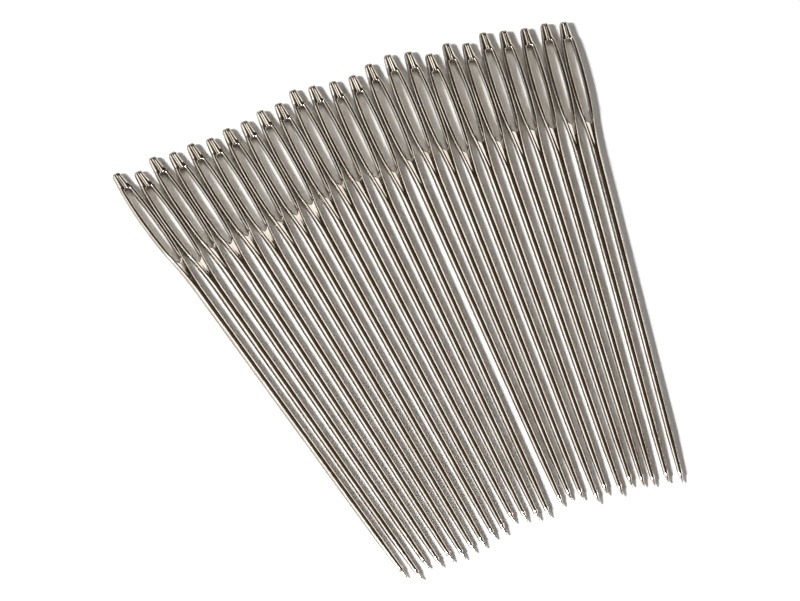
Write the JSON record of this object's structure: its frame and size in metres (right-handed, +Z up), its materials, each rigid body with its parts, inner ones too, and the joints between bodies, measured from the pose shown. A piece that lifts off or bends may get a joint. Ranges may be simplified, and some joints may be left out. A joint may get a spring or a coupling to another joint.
{
  "type": "large-eye yarn needle set",
  "caption": "Loose steel yarn needles with long punched eyes and short ground points, laid side by side in a fan.",
  "frame": {"origin": "on the table, under the middle of the fan's bounding box", "axes": "+Z up from the table, the eyes lie towards +Y and the points towards -Y, the needles follow each other towards +X"},
  "size_m": [0.063, 0.0706, 0.0011],
  "materials": {
    "nickel_plated_steel": "polished"
  },
  "bodies": {
    "needle_01": {"needle_01": "nickel_plated_steel"},
    "needle_02": {"needle_02": "nickel_plated_steel"},
    "needle_03": {"needle_03": "nickel_plated_steel"},
    "needle_04": {"needle_04": "nickel_plated_steel"},
    "needle_05": {"needle_05": "nickel_plated_steel"},
    "needle_06": {"needle_06": "nickel_plated_steel"},
    "needle_07": {"needle_07": "nickel_plated_steel"},
    "needle_08": {"needle_08": "nickel_plated_steel"},
    "needle_09": {"needle_09": "nickel_plated_steel"},
    "needle_10": {"needle_10": "nickel_plated_steel"},
    "needle_11": {"needle_11": "nickel_plated_steel"},
    "needle_12": {"needle_12": "nickel_plated_steel"},
    "needle_13": {"needle_13": "nickel_plated_steel"},
    "needle_14": {"needle_14": "nickel_plated_steel"},
    "needle_15": {"needle_15": "nickel_plated_steel"},
    "needle_16": {"needle_16": "nickel_plated_steel"},
    "needle_17": {"needle_17": "nickel_plated_steel"},
    "needle_18": {"needle_18": "nickel_plated_steel"},
    "needle_19": {"needle_19": "nickel_plated_steel"},
    "needle_20": {"needle_20": "nickel_plated_steel"},
    "needle_21": {"needle_21": "nickel_plated_steel"},
    "needle_22": {"needle_22": "nickel_plated_steel"},
    "needle_23": {"needle_23": "nickel_plated_steel"},
    "needle_24": {"needle_24": "nickel_plated_steel"},
    "needle_25": {"needle_25": "nickel_plated_steel"}
  },
  "joints": [
    {"name": "lift_01", "type": "slide", "parent": "needle_13", "child": "needle_01", "axis": [0, 0, 1], "range_m": [0, 0.02]},
    {"name": "lift_02", "type": "slide", "parent": "needle_13", "child": "needle_02", "axis": [0, 0, 1], "range_m": [0, 0.02]},
    {"name": "lift_03", "type": "slide", "parent": "needle_13", "child": "needle_03", "axis": [0, 0, 1], "range_m": [0, 0.02]},
    {"name": "lift_04", "type": "slide", "parent": "needle_13", "child": "needle_04", "axis": [0, 0, 1], "range_m": [0, 0.02]},
    {"name": "lift_05", "type": "slide", "parent": "needle_13", "child": "needle_05", "axis": [0, 0, 1], "range_m": [0, 0.02]},
    {"name": "lift_06", "type": "slide", "parent": "needle_13", "child": "needle_06", "axis": [0, 0, 1], "range_m": [0, 0.02]},
    {"name": "lift_07", "type": "slide", "parent": "needle_13", "child": "needle_07", "axis": [0, 0, 1], "range_m": [0, 0.02]},
    {"name": "lift_08", "type": "slide", "parent": "needle_13", "child": "needle_08", "axis": [0, 0, 1], "range_m": [0, 0.02]},
    {"name": "lift_09", "type": "slide", "parent": "needle_13", "child": "needle_09", "axis": [0, 0, 1], "range_m": [0, 0.02]},
    {"name": "lift_10", "type": "slide", "parent": "needle_13", "child": "needle_10", "axis": [0, 0, 1], "range_m": [0, 0.02]},
    {"name": "lift_11", "type": "slide", "parent": "needle_13", "child": "needle_11", "axis": [0, 0, 1], "range_m": [0, 0.02]},
    {"name": "lift_12", "type": "slide", "parent": "needle_13", "child": "needle_12", "axis": [0, 0, 1], "range_m": [0, 0.02]},
    {"name": "lift_14", "type": "slide", "parent": "needle_13", "child": "needle_14", "axis": [0, 0, 1], "range_m": [0, 0.02]},
    {"name": "lift_15", "type": "slide", "parent": "needle_13", "child": "needle_15", "axis": [0, 0, 1], "range_m": [0, 0.02]},
    {"name": "lift_16", "type": "slide", "parent": "needle_13", "child": "needle_16", "axis": [0, 0, 1], "range_m": [0, 0.02]},
    {"name": "lift_17", "type": "slide", "parent": "needle_13", "child": "needle_17", "axis": [0, 0, 1], "range_m": [0, 0.02]},
    {"name": "lift_18", "type": "slide", "parent": "needle_13", "child": "needle_18", "axis": [0, 0, 1], "range_m": [0, 0.02]},
    {"name": "lift_19", "type": "slide", "parent": "needle_13", "child": "needle_19", "axis": [0, 0, 1], "range_m": [0, 0.02]},
    {"name": "lift_20", "type": "slide", "parent": "needle_13", "child": "needle_20", "axis": [0, 0, 1], "range_m": [0, 0.02]},
    {"name": "lift_21", "type": "slide", "parent": "needle_13", "child": "needle_21", "axis": [0, 0, 1], "range_m": [0, 0.02]},
    {"name": "lift_22", "type": "slide", "parent": "needle_13", "child": "needle_22", "axis": [0, 0, 1], "range_m": [0, 0.02]},
    {"name": "lift_23", "type": "slide", "parent": "needle_13", "child": "needle_23", "axis": [0, 0, 1], "range_m": [0, 0.02]},
    {"name": "lift_24", "type": "slide", "parent": "needle_13", "child": "needle_24", "axis": [0, 0, 1], "range_m": [0, 0.02]},
    {"name": "lift_25", "type": "slide", "parent": "needle_13", "child": "needle_25", "axis": [0, 0, 1], "range_m": [0, 0.02]}
  ]
}
